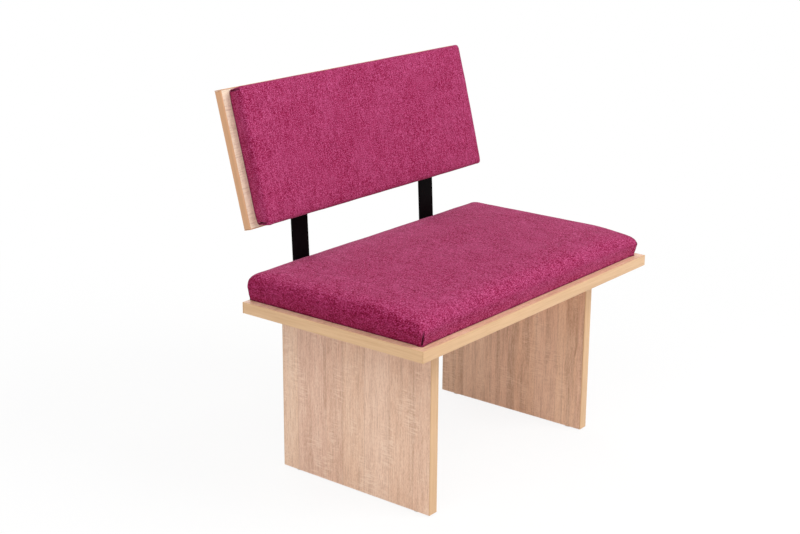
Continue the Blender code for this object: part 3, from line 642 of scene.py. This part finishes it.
class BENCH_OT_laminate(bpy.types.Operator):
    """Finish the seat, the legs, the rail and the back board in oak decor"""
    bl_idname = "bench.laminate"
    bl_label = "Laminated boards"

    def execute(self, context):
        for node, turn, painted_light_share, painted_bounce_share, figure in BOARDS:
            dress([node], oak_laminate(f"oak laminate {node}", turn, painted_light_share, painted_bounce_share, figure))
        dress(HIDDEN_BOARDS, chipboard("raw chipboard"))
        dress(DOWELS, beech("turned beech"))
        return {"FINISHED"}


class BENCH_OT_edge_bands(bpy.types.Operator):
    """Model the plastic bands round the boards' edges"""
    bl_idname = "bench.edge_bands"
    bl_label = "Edge bands"

    def execute(self, context):
        tones = colours()
        finishes = {}
        for node, outward, turn, axis in EDGE_BANDS:
            lean = back_lean() if turn is LEANING else 0.0
            tone = tones.band_back if lean else tones.band
            name = f"edge band along {axis}{' leaning' if lean else ''}"
            if name not in finishes:
                finishes[name] = edge_band_finish(name, tone, axis, lean)
            band = model_band(node, outward, turn, sizes().band_rounding)
            stand_for(band, [node], finishes[name])
        return {"FINISHED"}


class BENCH_OT_bars(bpy.types.Operator):
    """Smooth the bent steel bars and give them their coat"""
    bl_idname = "bench.bars"
    bl_label = "Steel bars"

    def execute(self, context):
        coat = powder_coat("black powder coat")
        for node in BARS:
            bar = merged_copy(node, f"{node}_coated")
            smooth(bar)
            stand_for(bar, [node], coat)
        return {"FINISHED"}


def cushion_form(name, node, turn, base, skirt):
    """The closed outer form of a cover, lying flat, with a skirt drawn down from its base."""
    form = merged_copy(node, name)
    form.data.transform(turn.inverted())
    with editing(form):
        bpy.ops.mesh.select_all(action="SELECT")
        bpy.ops.mesh.convex_hull()
        choose(form, "FACE", on_plane(base))
        draw_out(-skirt)
    return form


def cushion_blank(name, form, low, high, slack):
    """An even mesh in a cover's form, a little smaller, with its base left where it is."""
    piece = add_piece(name, form.data.copy())
    size = high - low
    shrink = Vector((1 - 2 * slack / size.x, 1 - 2 * slack / size.y, 1 - slack / size.z, 1))
    base = Matrix.Translation(((low.x + high.x) / 2, (low.y + high.y) / 2, low.z))
    piece.data.transform(base @ Matrix.Diagonal(shrink) @ base.inverted())
    piece.data.remesh_voxel_size = sizes().cushion_cell
    activate(piece)
    bpy.ops.object.voxel_remesh()
    return piece


def hold_base(piece, base, height):
    """A group that holds the fabric drawn under the pad."""
    held = piece.vertex_groups.new(name="held")
    held.add([v.index for v in piece.data.vertices if v.co.z < base + height], 1.0, "REPLACE")


# Settings of the fabric while it swells, and the frames that it takes
CLOTH = {
    "quality": 8, "mass": 0.3, "tension_stiffness": 15, "compression_stiffness": 15,
    "shear_stiffness": 5, "bending_stiffness": 0.5, "use_pressure": True,
    "uniform_pressure_force": 4.0, "vertex_group_mass": "held"}
SWELL_FRAMES = 20


def swell(piece, cap):
    """Blow the fabric up against its hem, then limit how far each point has moved."""
    start = [vertex.co.copy() for vertex in piece.data.vertices]
    cloth = piece.modifiers.new("swell", "CLOTH")
    for setting, value in CLOTH.items():
        setattr(cloth.settings, setting, value)
    cloth.settings.effector_weights.gravity = 0
    cloth.collision_settings.use_collision = False
    for step in range(SWELL_FRAMES):
        bpy.context.scene.frame_set(step + 1)
    apply(piece, cloth)
    bpy.context.scene.frame_set(1)
    for vertex, before in zip(piece.data.vertices, start):
        moved = vertex.co - before
        if moved.length > MERGE_DISTANCE:
            vertex.co = before + moved.normalized() * cap * math.tanh(moved.length / cap)


def lay_on(piece, form, give):
    """Lay the fabric on the firm form, and let it keep a share of its own shape."""
    free = [vertex.co.copy() for vertex in piece.data.vertices]
    firm = piece.modifiers.new("firm", "SHRINKWRAP")
    firm.target = form
    firm.wrap_method = "PROJECT"
    firm.use_negative_direction = True
    firm.project_limit = sizes().cushion_skirt
    apply(piece, firm)
    for vertex, own in zip(piece.data.vertices, free):
        vertex.co = vertex.co.lerp(own, give)


def fill_box(piece, low, high):
    """Stretch a piece from its base until its sides and top reach a box."""
    own_low, own_high = box_of([vertex.co for vertex in piece.data.vertices])
    own_low.z = low.z
    stretch = [(high[axis] - low[axis]) / (own_high[axis] - own_low[axis]) for axis in range(3)]
    piece.data.transform(
        Matrix.Translation(low) @ Matrix.Diagonal((*stretch, 1)) @ Matrix.Translation(-own_low))


def refine(piece):
    fine = piece.modifiers.new("fine", "SUBSURF")
    fine.levels = 1
    fine.render_levels = 1
    apply(piece, fine)


def cut_base(piece, base):
    """Cut the skirt off and close the base."""
    with editing(piece):
        bpy.ops.mesh.select_all(action="SELECT")
        bpy.ops.mesh.bisect(
            plane_co=(0, 0, base), plane_no=(0, 0, 1), use_fill=True, clear_inner=True)


def roll_unevenly(piece, base, height, wave, reach):
    """Slow waves in the faces, as foam gives, with the hem left flat."""
    group = piece.vertex_groups.new(name="free")
    for vertex in piece.data.vertices:
        group.add([vertex.index], min(1.0, max(0.0, (vertex.co.z - base) / reach)), "REPLACE")
    waves = bpy.data.textures.new("slow waves", "CLOUDS")
    waves.noise_scale = wave
    uneven = piece.modifiers.new("uneven", "DISPLACE")
    uneven.texture = waves
    uneven.texture_coords = "LOCAL"
    uneven.strength = height
    uneven.vertex_group = group.name
    apply(piece, uneven)


def ease(share):
    """A share between 0 and 1, eased at both ends."""
    share = min(1.0, max(0.0, share))
    return share * share * (3 - 2 * share)


def settle_corners(piece, low, high, front, rear):
    """Let a cushion's top fall towards its corners, and spread the hem where the fabric is folded."""
    detail = sizes()
    middle = (low + high) / 2
    for vertex in piece.data.vertices:
        point = vertex.co
        in_x = min(point.x - low.x, high.x - point.x)
        in_y = min(point.y - low.y, high.y - point.y)
        level = (point.z - low.z) / (high.z - low.z)
        drop, hem = front if point.y < middle.y else rear
        outward = Vector((math.copysign(1, point.x - middle.x), math.copysign(1, point.y - middle.y), 0))
        fall = ease(1 - in_x / detail.corner_reach) * ease(1 - in_y / detail.corner_reach)
        spread = ease(1 - in_x / detail.hem_reach) * ease(1 - in_y / detail.hem_reach)
        point.z -= drop * fall * level
        vertex.co = point + outward.normalized() * hem * spread * (1 - level)


# A slit's bow, the angle it bows through, and the shares of its height where it starts and is full
SLIT_BOW = 0.0006
SLIT_BOW_ANGLE = 2.6
SLIT_START = 0.02
SLIT_FULL = 0.1

# Where the lip beside a slit lies and how wide it is, in widths of the slit
LIP_ASIDE = 2.4
LIP_WIDTH = 1.6


class Pleat:
    """The fold of fabric at a cushion's corner: a slit up from the hem with a proud lip."""

    def __init__(self, corner, outward, base, height, lean):
        self.corner = corner
        self.outward = outward
        self.lean = lean
        self.across = Vector((-outward.y, outward.x, 0))
        self.base = base
        self.height = height

    def flat(self, point):
        """The way from the corner to a point, in plan."""
        return Vector((point.x - self.corner.x, point.y - self.corner.y, 0))

    def near(self, point, reach):
        return self.flat(point).length < reach and point.z < self.base + self.height + reach

    def rise(self, point):
        """Where a point is along the slit, from 0 at the hem to 1 at the slit's upper end."""
        return (point.z - self.base) / self.height

    def aside(self, point):
        """How far a point is beside the slit, which leans and bows a little."""
        bow = SLIT_BOW * math.sin(self.rise(point) * SLIT_BOW_ANGLE)
        return self.flat(point).dot(self.across) + self.lean * self.rise(point) + bow

    def depth(self, point, width):
        """How deep the slit is at a point, as a share of its full depth."""
        rise = self.rise(point)
        if not SLIT_START < rise < 1:
            return 0.0
        taper = min(1.0, rise / SLIT_FULL) * (1 - rise ** 4)
        return math.exp(-(self.aside(point) / width) ** 2) * taper

    def lip(self, point, width):
        """How proud the lip is at a point, as a share of its full height."""
        rise = self.rise(point)
        if not 0 < rise < 1:
            return 0.0
        aside = (self.aside(point) - LIP_ASIDE * width) / (LIP_WIDTH * width)
        return math.exp(-aside ** 2) * (1 - rise ** 2)


def corner_pleats(low, high, height, lean):
    """A pleat at each corner of a cushion's plan."""
    pleats = []
    for x, sign_x in ((low.x, -1), (high.x, 1)):
        for y, sign_y in ((low.y, -1), (high.y, 1)):
            outward = Vector((sign_x, sign_y, 0)).normalized()
            pleats.append(Pleat(Vector((x, y, 0)), outward, low.z, height, lean * sign_x * sign_y))
    return pleats


# How far a point turns to an end before painted shade darkens its pile, and how dark the painted shade on
# the hem is
END_SHADE_TURN = 0.3
HEM_SHADE = 0.6


def mark_pile(piece, base, hem):
    """Note where the painted shade goes: how far each point faces along the cushion, and how near the
    tucked hem it is.
    """
    marks = ("end", "fold")
    for mark in marks:
        piece.data.attributes.new(mark, "FLOAT", "POINT")
    end, fold = (piece.data.attributes[mark] for mark in marks)
    for index, vertex in enumerate(piece.data.vertices):
        end.data[index].value = max(0.0, (abs(vertex.normal.x) - END_SHADE_TURN) / (1 - END_SHADE_TURN))
        fold.data[index].value = HEM_SHADE * max(0.0, 1.0 - (vertex.co.z - base) / hem)


# Size of the refined patch round a pleat, how much smaller the next one is, and how many there are
PATCH_REACH = 0.022
PATCH_SHRINK = 0.7
PATCH_STEPS = 2


def fold_corners(piece, pleats):
    """Refine the corners, then press the slits in, raise their lips and paint shade into the slits."""
    width, depth, lip = sizes().pleat_width, sizes().pleat_depth, sizes().pleat_lip
    reach = PATCH_REACH
    for _ in range(PATCH_STEPS):
        with editing(piece):
            choose(piece, "FACE", lambda face: any(
                pleat.near(face.calc_center_median(), reach) for pleat in pleats))
            bpy.ops.mesh.subdivide(number_cuts=1, smoothness=0)
        reach *= PATCH_SHRINK
    # The fold marks also take the slits' depth, as painted shade in the slits
    fold = piece.data.attributes["fold"]
    for index, vertex in enumerate(piece.data.vertices):
        point = vertex.co.copy()
        for pleat in pleats:
            if pleat.near(point, reach * 2):
                pressed = pleat.depth(point, width)
                raised = pleat.lip(point, width)
                vertex.co += pleat.outward * (lip * raised - depth * pressed)
                fold.data[index].value = max(fold.data[index].value, pressed)


Cushion = namedtuple(
    "Cushion",
    "name cover filling turn slack room_low room_high pleat lean front rear weave mottle end_share fill")


def make_cushion(cushion):
    """A cushion in the place of a cover and its filling, swollen and folded at its corners."""
    detail = sizes()
    low, high = extent(cushion.cover, cushion.turn)
    form = cushion_form(
        f"{cushion.name}_form", cushion.cover, cushion.turn, low.z, detail.cushion_skirt)
    piece = cushion_blank(cushion.name, form, low, high, cushion.slack)
    hold_base(piece, low.z, detail.cushion_held)
    swell(piece, detail.cushion_cap)
    lay_on(piece, form, detail.cushion_give)
    discard(form)
    refine(piece)
    low = low - cushion.room_low
    high = high + cushion.room_high
    fill_box(piece, low, high)
    cut_base(piece, low.z)
    roll_unevenly(piece, low.z, detail.unevenness, detail.wave_length, (high.z - low.z) / 2)
    settle_corners(piece, low, high, cushion.front, cushion.rear)
    mark_pile(piece, low.z, detail.hem_shade_height)
    fold_corners(piece, corner_pleats(low, high, cushion.pleat, cushion.lean))
    activate(piece)
    bpy.ops.object.shade_smooth()
    piece.data.transform(cushion.turn)
    fabric = pile_fabric(
        f"{cushion.name} fabric", cushion.turn, cushion.weave, cushion.mottle, cushion.end_share)
    stand_for(piece, [cushion.cover, cushion.filling], fabric)


class BENCH_OT_cushions(bpy.types.Operator):
    """Make the seat and back cushions"""
    bl_idname = "bench.cushions"
    bl_label = "Cushions"

    def execute(self, context):
        detail = sizes()
        full = detail.cushion_fullness
        make_cushion(Cushion(
            name="seat_cushion", cover="seat_pad_cover", filling="seat_pad_foam", turn=UPRIGHT,
            slack=detail.seat_slack,
            room_low=Vector((full, full, 0)), room_high=Vector((full, full, full)),
            pleat=detail.seat_pleat, lean=detail.seat_pleat_lean,
            front=(detail.seat_front_drop, detail.seat_spread), rear=(detail.seat_rear_drop, 0.0),
            weave=(420, 270, 390), mottle=0.20, end_share=0.95, fill=0.8))
        make_cushion(Cushion(
            name="back_cushion", cover="back_pad_cover", filling="back_pad_foam", turn=ON_BACK,
            slack=detail.back_slack,
            room_low=Vector((0, -detail.back_rise, 0)), room_high=Vector((0, 0, full)),
            pleat=detail.back_pleat, lean=detail.back_pleat_lean,
            front=(detail.back_drop, -detail.back_draw), rear=(detail.back_drop, -detail.back_draw),
            weave=(500, 440, 460), mottle=0.12, end_share=0.3, fill=0.85))
        return {"FINISHED"}


SCREW_SIDES = 32
GLIDE_SIDES = 48
POINT_SHARE = 0.1

# Rims of the screw heads: their rounding as a share of the head's height, and its steps
DOMED_RIM = (0.6, 4)
SUNK_RIM = (0.1, 2)

# Recesses: how many arms, and an arm's width and reach as shares of the head's diameter
CROSS_RECESS = (2, 0.13, 0.55)
HEX_RECESS = (3, 0.2, 0.4)
RECESS_DEPTH = 0.6
RECESS_TAPER = (0.55, 0.7, 1)

# A glide's rounding and dish as shares of its height, and the rim round the dish as one of its diameter
GLIDE_ROUNDING = 0.35
GLIDE_DISH = 0.25
GLIDE_RIM = 0.22


def turned_blank(name, radius, height, sides):
    """A disc with its top at the origin."""
    deselect()
    bpy.ops.mesh.primitive_cylinder_add(
        vertices=sides, radius=radius, depth=height, location=(0, 0, -height / 2))
    blank = named(name)
    bpy.ops.object.transform_apply(location=True)
    return blank


def add_shank(screw, head, head_height, shank, length, tip):
    """Draw the shank and its point out of the underside of a head."""
    with editing(screw):
        choose(screw, "FACE", on_plane(-head_height))
        bpy.ops.mesh.inset(thickness=(head - shank) / 2)
        draw_out(head_height + tip - length)
        draw_out(-tip)
        bpy.ops.transform.resize(value=(POINT_SHARE, POINT_SHARE, 1))


def press_recess(screw, arms, width, reach, depth):
    """Press a recess of crossed, tapered arms into the top of a head."""
    for arm in range(arms):
        deselect()
        bpy.ops.mesh.primitive_cube_add(size=1, location=(0, 0, 0), scale=(reach, width, 2 * depth))
        punch = named("punch")
        bpy.ops.object.transform_apply(location=True, scale=True)
        with editing(punch):
            choose(punch, "FACE", on_plane(-depth))
            bpy.ops.transform.resize(value=RECESS_TAPER)
        punch.data.transform(Matrix.Rotation(math.pi * arm / arms, 4, "Z"))
        recess = screw.modifiers.new("recess", "BOOLEAN")
        recess.object = punch
        apply(screw, recess)
        discard(punch)


def model_screw(name, head, head_height, shank, length, rim, recess):
    """A screw with its head's top at the origin, the head's rim rounded and a recess pressed in."""
    rounding, steps = rim
    arms, width, reach = recess
    screw = turned_blank(name, head / 2, head_height, SCREW_SIDES)
    with editing(screw):
        choose(screw, "EDGE", on_plane(0))
        bpy.ops.mesh.bevel(offset=head_height * rounding, segments=steps, affect="EDGES")
    add_shank(screw, head, head_height, shank, length, sizes().screw_tip)
    press_recess(screw, arms, head * width, head * reach, head_height * RECESS_DEPTH)
    smooth(screw)
    return screw


def drive_screws(master, length, nodes, turn, facing, finish):
    """Copy a screw to each node's place, with its shank drawn to the node's length."""
    for node in nodes:
        low, high = extent(node, turn)
        far = high if max(facing, key=abs) > 0 else low
        axis = max(range(3), key=lambda i: abs(facing[i]))
        head = (low + high) / 2
        head[axis] = far[axis]
        mesh = master.data.copy()
        for vertex in mesh.vertices:
            if vertex.co.z < -length / 2:
                vertex.co.z -= high[axis] - low[axis] - length
        screw = add_piece(f"{node}_driven", mesh)
        aim = facing.to_track_quat("Z", "Y").to_matrix().to_4x4()
        mesh.transform(turn @ Matrix.Translation(head) @ aim)
        stand_for(screw, [node], finish)


class BENCH_OT_screws(bpy.types.Operator):
    """Model the screws of the bars, the cushions, the legs and the rail"""
    bl_idname = "bench.screws"
    bl_label = "Screws"

    def execute(self, context):
        detail = sizes()
        zinc = zinc_plate("zinc plate")
        low, high = extent(SCREWS_UP[0], UPRIGHT)
        length = high.z - low.z
        pan = model_screw(
            "pan_screw", detail.pan_head, detail.pan_head_height, detail.pan_shank, length,
            DOMED_RIM, CROSS_RECESS)
        drive_screws(pan, length, SCREWS_UP, UPRIGHT, DOWN, zinc)
        drive_screws(pan, length, SCREWS_FORWARD, LEANING, BACKWARD, zinc)
        discard(pan)
        low, high = extent(SEAT_SCREWS[0], UPRIGHT)
        length = high.z - low.z
        sunk = model_screw(
            "seat_screw", detail.seat_head, detail.seat_head_height, detail.seat_shank, length,
            SUNK_RIM, HEX_RECESS)
        drive_screws(sunk, length, SEAT_SCREWS, UPRIGHT, UP, zinc)
        discard(sunk)
        return {"FINISHED"}


def model_glide(total):
    """A rounded disc on a nail, its sole at the origin."""
    detail = sizes()
    glide = turned_blank("glide", detail.glide / 2, detail.glide_height, GLIDE_SIDES)
    with editing(glide):
        choose(glide, "EDGE", on_plane(0))
        bpy.ops.mesh.bevel(offset=detail.glide_height * GLIDE_ROUNDING, segments=4, affect="EDGES")
    add_shank(
        glide, detail.glide, detail.glide_height, detail.glide_pin, total, detail.glide_pin)
    with editing(glide):
        choose(glide, "FACE", on_plane(0))
        bpy.ops.mesh.inset(thickness=detail.glide * GLIDE_RIM)
        draw_out(-detail.glide_height * GLIDE_DISH)
    smooth(glide)
    return glide


class BENCH_OT_glides(bpy.types.Operator):
    """Model the glides nailed under the legs"""
    bl_idname = "bench.glides"
    bl_label = "Floor glides"

    def execute(self, context):
        plastic = moulded_plastic("glide plastic")
        low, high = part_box(GLIDES[0])
        master = model_glide(high.z - low.z)
        for node in GLIDES:
            low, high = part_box(node)
            glide = add_piece(f"{node}_nailed", master.data.copy())
            sole = Vector(((low.x + high.x) / 2, (low.y + high.y) / 2, low.z))
            glide.data.transform(Matrix.Translation(sole) @ Matrix.Rotation(math.pi, 4, "X"))
            stand_for(glide, [node], plastic)
        discard(master)
        return {"FINISHED"}


# The photograph's camera: its place, its turn in degrees and its lens on a 36 mm wide sensor
CAMERA_PLACE = Vector((-2.5998, -1.9435, 1.4248))
CAMERA_TURN = (73.039, -0.375, -51.568)
CAMERA_LENS = 67.53
CAMERA_SENSOR = 36.0

# Lamps: place, aim point, width and power
LAMPS = (
    ("key lamp", Vector((0.9, -2.6, 3.0)), Vector((0, 0, 0.4)), 2.0, 76.0),
    ("fill lamp", Vector((-2.6, -0.8, 2.8)), Vector((0, 0, 0.4)), 2.0, 40.0),
    ("rear lamp", Vector((1.4, 2.6, 1.5)), Vector((0, 0, 0.5)), 2.0, 22.0),
)
SKY_STRENGTH = 0.53
FLOOR_SIZE = 60.0

# Share of its own white that the floor shows near the bench, and where that share reaches all of it
FLOOR_GLOW = 0.87
GLOW_NEAR = 0.7
GLOW_FAR = 2.2


def seen_directly(tree):
    """A value of 1 for what the camera, a reflection or a view through glass sees."""
    path = tree.nodes.new("ShaderNodeLightPath")
    total = path.outputs["Is Camera Ray"]
    for output in ("Is Glossy Ray", "Is Transmission Ray"):
        either = tree.nodes.new("ShaderNodeMath")
        either.operation = "MAXIMUM"
        tree.links.new(total, either.inputs[0])
        tree.links.new(path.outputs[output], either.inputs[1])
        total = either.outputs[0]
    return total


def add_floor():
    """A white floor that keeps the bench's shadow, and shows its own white further out."""
    deselect()
    bpy.ops.mesh.primitive_plane_add(size=FLOOR_SIZE, location=(0, 0, CAD_BOX[0].z))
    floor = named("studio_floor")
    white = Finish("studio floor")
    seen = seen_directly(white.tree)
    tone = white.mix(seen, colours().floor_bounce, colours().floor)
    white.surface(Base_Color=tone, Roughness=1.0, Specular_IOR_Level=0.0)
    distance = white.add("ShaderNodeVectorMath", {0: white.place}, operation="LENGTH")
    fade = white.spread(distance.outputs["Value"], GLOW_NEAR, GLOW_FAR, FLOOR_GLOW, 1.0)
    fade.node.interpolation_type = "SMOOTHSTEP"
    both = white.add("ShaderNodeMixShader", {
        0: white.times(seen, fade),
        1: white.shader.outputs[0],
        2: white.add("ShaderNodeEmission", {}).outputs[0]})
    white.set(white.tree.nodes["Material Output"], "Surface", both.outputs[0])
    floor.data.materials.append(white.material)


def add_sky():
    world = bpy.data.worlds.new("studio sky")
    world.use_nodes = True
    tree = world.node_tree
    light = tree.nodes["Background"]
    light.inputs["Color"].default_value = (1, 1, 1, 1)
    light.inputs["Strength"].default_value = SKY_STRENGTH
    backdrop = tree.nodes.new("ShaderNodeBackground")
    backdrop.inputs["Color"].default_value = (1, 1, 1, 1)
    both = tree.nodes.new("ShaderNodeMixShader")
    tree.links.new(seen_directly(tree), both.inputs[0])
    tree.links.new(light.outputs[0], both.inputs[1])
    tree.links.new(backdrop.outputs[0], both.inputs[2])
    tree.links.new(both.outputs[0], tree.nodes["World Output"].inputs["Surface"])
    bpy.context.scene.world = world


def add_lamp(name, place, aim, width, power):
    turn = (aim - place).to_track_quat("-Z", "Y").to_euler()
    bpy.ops.object.light_add(type="AREA", location=place, rotation=turn)
    lamp = bpy.context.object
    lamp.name = name
    lamp.data.size = width
    lamp.data.energy = power


def add_camera(scene):
    turn = Euler([math.radians(angle) for angle in CAMERA_TURN])
    bpy.ops.object.camera_add(location=CAMERA_PLACE, rotation=turn)
    camera = bpy.context.object
    camera.data.sensor_width = CAMERA_SENSOR
    camera.data.lens = CAMERA_LENS
    scene.camera = camera


class BENCH_OT_stage(bpy.types.Operator):
    """Set up the floor, the light and the camera"""
    bl_idname = "bench.stage"
    bl_label = "Stage"

    def execute(self, context):
        add_floor()
        add_sky()
        for lamp in LAMPS:
            add_lamp(*lamp)
        add_camera(context.scene)
        context.scene.view_settings.view_transform = "Standard"
        return {"FINISHED"}


class BENCH_PT_looks(bpy.types.Panel):
    """Buttons and settings for the bench's looks"""
    bl_idname = "BENCH_PT_looks"
    bl_label = "Bench"
    bl_space_type = "VIEW_3D"
    bl_region_type = "UI"
    bl_category = "Bench"

    def draw(self, context):
        column = self.layout.column()
        for operator in OPERATORS:
            column.operator(operator.bl_idname)
        for group in (context.scene.bench_sizes, context.scene.bench_colours):
            box = self.layout.box()
            for name in group.__annotations__:
                box.prop(group, name)


OPERATORS = (
    BENCH_OT_laminate, BENCH_OT_edge_bands, BENCH_OT_bars, BENCH_OT_cushions,
    BENCH_OT_screws, BENCH_OT_glides, BENCH_OT_stage)
CLASSES = (BenchSizes, BenchColours, *OPERATORS, BENCH_PT_looks)


def register():
    for item in CLASSES:
        bpy.utils.register_class(item)
    bpy.types.Scene.bench_sizes = bpy.props.PointerProperty(type=BenchSizes)
    bpy.types.Scene.bench_colours = bpy.props.PointerProperty(type=BenchColours)


def unregister():
    del bpy.types.Scene.bench_colours
    del bpy.types.Scene.bench_sizes
    for item in reversed(CLASSES):
        bpy.utils.unregister_class(item)


def main():
    register()
    bpy.ops.bench.laminate()
    bpy.ops.bench.edge_bands()
    bpy.ops.bench.bars()
    bpy.ops.bench.cushions()
    bpy.ops.bench.screws()
    bpy.ops.bench.glides()
    bpy.ops.bench.stage()


if __name__ == "__main__":
    main()
